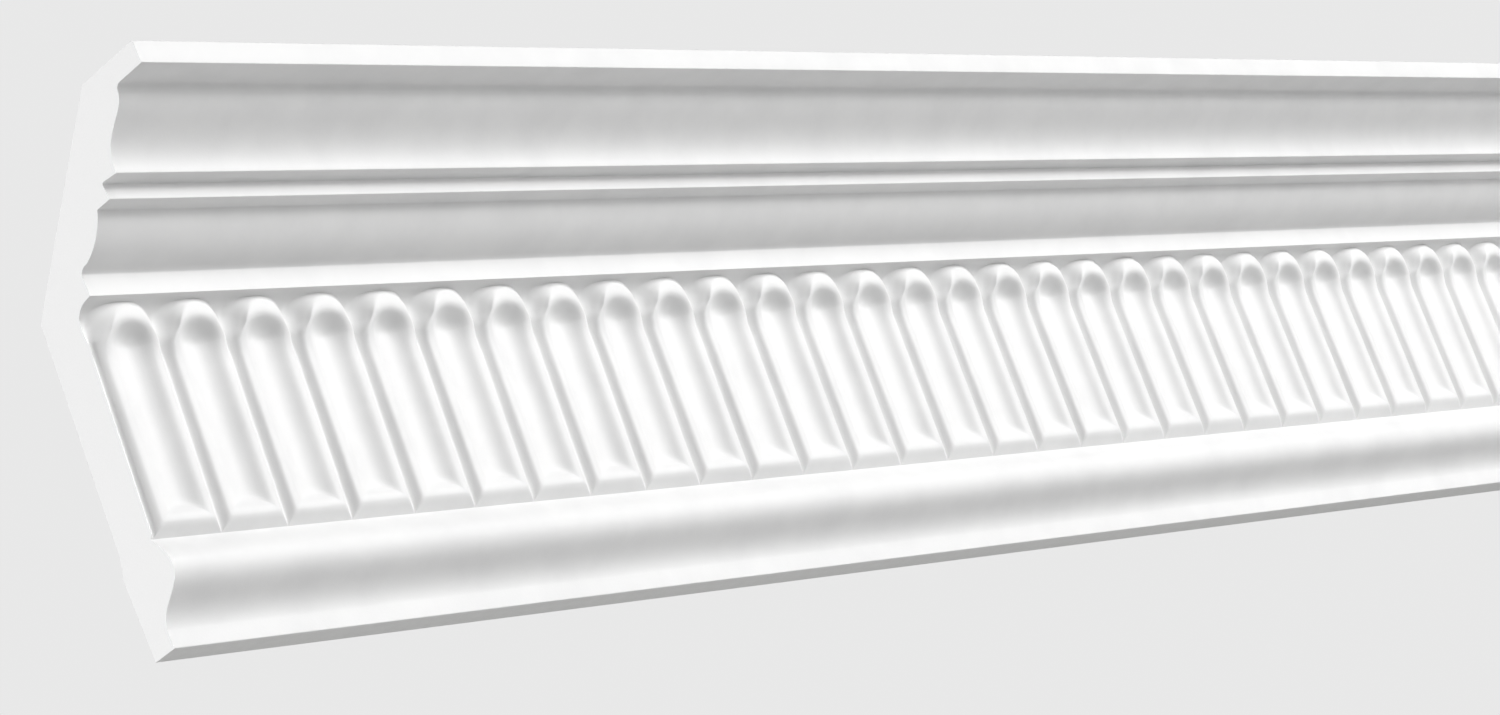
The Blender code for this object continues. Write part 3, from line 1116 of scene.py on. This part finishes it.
@dataclass
class MouldingRun:
    """The whole length: swept members, tongued frieze and the two sawn ends."""

    length: float
    section: CorniceSection = field(default_factory=CorniceSection)
    rows_a_tongue: int = 2
    cut_columns: tuple[float, ...] = (0.0003, 0.0008, 0.0018, 0.0040)
    unevenness: float = 0.00006
    uneven_scale: float = 55.0
    cut_slack: float = 0.00001
    sharp_turn: float = math.radians(48.0)
    nicks: tuple[Nick, ...] = (Nick(0.0353, 0.0505, 0.0022, 0.0007), Nick(0.0568, 0.0312, 0.0020, 0.0006),
                               Nick(0.0120, 0.1560, 0.0020, 0.0005))

    @cached_property
    def frieze(self) -> TongueFrieze:
        """The row of tongues."""
        return TongueFrieze(self.section, self.length)

    def columns(self) -> list[float]:
        """Place the swept faces along the run.

        Returns:
            Distances from the left cut, closer together beside the cuts.
        """
        steps = self.frieze.count * self.rows_a_tongue
        inner = [self.length * i / steps for i in range(1, steps)]
        near = [0.0, *self.cut_columns]
        return near + inner + [self.length - c for c in reversed(near)]

    def outline(self) -> tuple[list[Point], int, int]:
        """Go round the section from the foot of the frieze to the foot of the fascia.

        Returns:
            The eased outline, and the numbers of its points where the back starts and ends.
        """
        lower = eased(self.section.lower_face() + self.section.back()[:1], self.section.arris_ease)
        upper = eased(self.section.back()[-1:] + self.section.upper_face(), self.section.arris_ease)
        back = self.section.back()
        return lower[:-1] + back + upper[1:], len(lower) - 2, len(lower) + len(back) - 1

    def sweep(self, bm: bmesh.types.BMesh) -> None:
        """Draw the plain members along the run.

        Args:
            bm: Mesh that takes the faces.
        """
        outline, back_start, back_end = self.outline()
        columns = self.columns()
        rows = [[placed(self.section, self.length, x, *p) for x in columns] for p in outline]
        foot = [placed(self.section, self.length, x, *outline[0]) for x in self.frieze.foot_line()]
        head = [placed(self.section, self.length, x, *outline[-1]) for x in self.frieze.head_line()]
        for i in range(1, len(rows) - 2):
            side = Side.BACK if back_start <= i < back_end else Side.FACE
            for j in range(len(columns) - 1):
                add_face(bm, [rows[i][j], rows[i + 1][j], rows[i + 1][j + 1], rows[i][j + 1]], side)
        for dense, plain in ((foot, rows[1]), (head, rows[-2])):
            for triangle in zipped(dense, plain):
                add_face(bm, triangle, Side.FACE)

    def close_ends(self, bm: bmesh.types.BMesh) -> None:
        """Fill the two sawn ends.

        Args:
            bm: Welded mesh that is open only there.
        """
        rim = [e for e in bm.edges if e.is_boundary]
        for face in bmesh.ops.edgeloop_fill(bm, edges=rim)["faces"]:
            face.material_index = Side.CUT.value

    def roughen(self, bm: bmesh.types.BMesh) -> None:
        """Sink the moulded face a little here and there, as cast work is never quite true.

        Args:
            bm: Closed mesh with its faces pointing out.
        """
        bm.normal_update()
        half = self.length / 2
        for vertex in bm.verts:
            if abs(vertex.co.x) > half - self.cut_slack:
                continue
            if any(f.material_index != Side.FACE.value for f in vertex.link_faces):
                continue
            depth = 0.5 + 0.5 * noise.noise(vertex.co * self.uneven_scale)
            vertex.co -= vertex.normal * self.unevenness * depth

    def build(self) -> bpy.types.Object:
        """Make the moulding.

        Returns:
            The finished piece.
        """
        bm = bmesh.new()
        for ring in self.frieze.build():
            add_face(bm, ring, Side.FACE)
        self.sweep(bm)
        bmesh.ops.remove_doubles(bm, verts=bm.verts, dist=WELD)
        self.close_ends(bm)
        bmesh.ops.recalc_face_normals(bm, faces=bm.faces)
        self.roughen(bm)
        bm.normal_update()
        for nick in self.nicks:
            nick.sink(bm, placed(self.section, self.length, 0.0, nick.out, nick.down))
        open_edges = sum(1 for e in bm.edges if not e.is_manifold)
        triangles = sum(len(f.verts) - 2 for f in bm.faces)
        LOG.info("moulding: %d triangles, %d open edges", triangles, open_edges)
        mesh = bpy.data.meshes.new("cornice_moulding_surface")
        bm.to_mesh(mesh)
        bm.free()
        for finish in (PrimedSkin(), SawnFoam(), CastBack()):
            mesh.materials.append(finish.material())
        mesh.shade_smooth()
        mesh.set_sharp_from_angle(angle=self.sharp_turn)
        piece = bpy.data.objects.new("cornice_moulding_surface", mesh)
        bpy.context.scene.collection.objects.link(piece)
        return piece

    def dress(self, piece: bpy.types.Object) -> None:
        """Lay the piece over its solid.

        Args:
            piece: The finished moulding.
        """
        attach(piece, "root")
        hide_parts(SOLID)
        LOG.info("%s stands for %s", piece.name, SOLID)


def add_face(bm: bmesh.types.BMesh, ring: list[Vector], side: Side) -> None:
    """Add one face.

    Args:
        bm: Mesh that takes it.
        ring: Its corners; those that fall together count once.
        side: What the face is.
    """
    corners = [p for i, p in enumerate(ring) if (p - ring[i - 1]).length > WELD]
    if len(corners) < 3:
        return
    face = bm.faces.new([bm.verts.new(p) for p in corners])
    face.material_index = side.value


def zipped(one: list[Vector], two: list[Vector]) -> list[list[Vector]]:
    """Join two rows of points that run along X at different steps.

    Args:
        one: First row.
        two: Second row, from the same X to the same X.

    Returns:
        The triangles between them.
    """
    triangles = []
    i = j = 0
    while i < len(one) - 1 or j < len(two) - 1:
        if j == len(two) - 1 or (i < len(one) - 1 and one[i + 1].x <= two[j + 1].x):
            triangles.append([one[i], one[i + 1], two[j]])
            i += 1
        else:
            triangles.append([one[i], two[j + 1], two[j]])
            j += 1
    return triangles


@dataclass(frozen=True)
class SoftLight:
    """A square soft box that faces the moulding."""

    name: str
    heading: float
    climb: float
    power: float
    size: float
    distance: float = 6.0

    def build(self, aim: Vector) -> bpy.types.Object:
        """Hang the light.

        Args:
            aim: Point that it faces.

        Returns:
            The light.
        """
        heading, climb = math.radians(self.heading), math.radians(self.climb)
        away = Vector((math.sin(heading) * math.cos(climb), -math.cos(heading) * math.cos(climb),
                       math.sin(climb)))
        data = bpy.data.lights.new(self.name, "AREA")
        data.energy = self.power
        data.size = self.size
        light = bpy.data.objects.new(self.name, data)
        light.location = aim + away * self.distance
        light.rotation_mode = "QUATERNION"
        light.rotation_quaternion = (-away).to_track_quat("-Z", "Y")
        bpy.context.scene.collection.objects.link(light)
        return light


@dataclass
class Studio:
    """A pale floor far below, a near-white surround and six soft lights."""

    aim: Vector
    floor_drop: float = 2.6
    floor_size: float = 6.0
    floor_colour: Colour = (0.80, 0.80, 0.80)
    floor_roughness: float = 0.9
    surround: float = 0.0
    backdrop: float = 0.81
    lights: tuple[SoftLight, ...] = (
        SoftLight("high_key", heading=30.0, climb=25.0, power=296.0, size=3.0),
        SoftLight("low_key", heading=30.0, climb=5.0, power=138.0, size=3.0),
        SoftLight("left_fill", heading=-35.0, climb=5.0, power=74.0, size=3.0),
        SoftLight("front_fill", heading=0.0, climb=25.0, power=36.0, size=3.0),
        SoftLight("end_fill", heading=-107.0, climb=-3.0, power=255.0, size=3.0),
        SoftLight("back_fill", heading=165.0, climb=12.0, power=170.0, size=3.0),
    )

    def build(self) -> None:
        """Set up the floor, the surround and the lights."""
        bpy.context.scene.view_settings.view_transform = "Standard"
        half = self.floor_size / 2
        mesh = bpy.data.meshes.new("studio_floor")
        corners = [(-half, -half, 0.0), (half, -half, 0.0), (half, half, 0.0), (-half, half, 0.0)]
        mesh.from_pydata(corners, [], [(0, 1, 2, 3)])
        made = NodeBench("studio_floor_paint")
        made.shader.inputs["Base Color"].default_value = (*self.floor_colour, 1.0)
        made.shader.inputs["Roughness"].default_value = self.floor_roughness
        mesh.materials.append(made.material)
        floor = bpy.data.objects.new("studio_floor", mesh)
        floor.location = (0.0, 0.0, -self.floor_drop)
        bpy.context.scene.collection.objects.link(floor)
        self.paint_surround()
        for light in self.lights:
            light.build(self.aim)
            LOG.info("%s hung", light.name)

    def paint_surround(self) -> None:
        """Make the surround near white to look at and dark as a light."""
        world = bpy.data.worlds.new("studio_surround")
        world.use_nodes = True
        nodes, links = world.node_tree.nodes, world.node_tree.links
        background = nodes["Background"]
        background.inputs["Color"].default_value = (1.0, 1.0, 1.0, 1.0)
        path = nodes.new("ShaderNodeLightPath")
        strength = nodes.new("ShaderNodeMix")
        strength.inputs["A"].default_value = self.surround
        strength.inputs["B"].default_value = self.backdrop
        links.new(path.outputs["Is Camera Ray"], strength.inputs["Factor"])
        links.new(strength.outputs["Result"], background.inputs["Strength"])
        bpy.context.scene.world = world


@dataclass(frozen=True)
class PhotoCamera:
    """The camera at the photograph's viewing angle, looking up at the left cut."""

    from_left_cut: tuple[float, float, float] = (-0.9351, -0.9612, -0.3876)
    heading: float = 36.9191
    climb: float = 16.1835
    roll: float = -24.1427
    lens: float = 106.56
    sensor_width: float = 36.0
    nearest: float = 0.05

    def build(self, left_cut: float) -> bpy.types.Object:
        """Set up the camera.

        Args:
            left_cut: X of the left cut.

        Returns:
            The camera.
        """
        heading, climb = math.radians(self.heading), math.radians(self.climb)
        sight = Vector((math.cos(heading) * math.cos(climb), math.sin(heading) * math.cos(climb),
                        math.sin(climb)))
        data = bpy.data.cameras.new("photo_camera")
        data.sensor_width = self.sensor_width
        data.lens = self.lens
        data.clip_start = self.nearest
        camera = bpy.data.objects.new("photo_camera", data)
        camera.location = Vector(self.from_left_cut) + Vector((left_cut, 0.0, 0.0))
        camera.rotation_mode = "QUATERNION"
        camera.rotation_quaternion = (sight.to_track_quat("-Z", "Y")
                                      @ Quaternion((0.0, 0.0, 1.0), math.radians(self.roll)))
        bpy.context.scene.collection.objects.link(camera)
        bpy.context.scene.camera = camera
        return camera


def main() -> None:
    """Build the moulding, its studio and the camera."""
    logging.basicConfig(level=logging.INFO, format="%(name)s: %(message)s")
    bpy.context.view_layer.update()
    low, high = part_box(SOLID)
    run = MouldingRun(length=high[0] - low[0])
    run.dress(run.build())
    Studio(aim=Vector((0.0, (low[1] + high[1]) / 2, (low[2] + high[2]) / 2))).build()
    PhotoCamera().build(left_cut=low[0])
    LOG.info("studio and camera set")


if __name__ == "__main__":
    main()
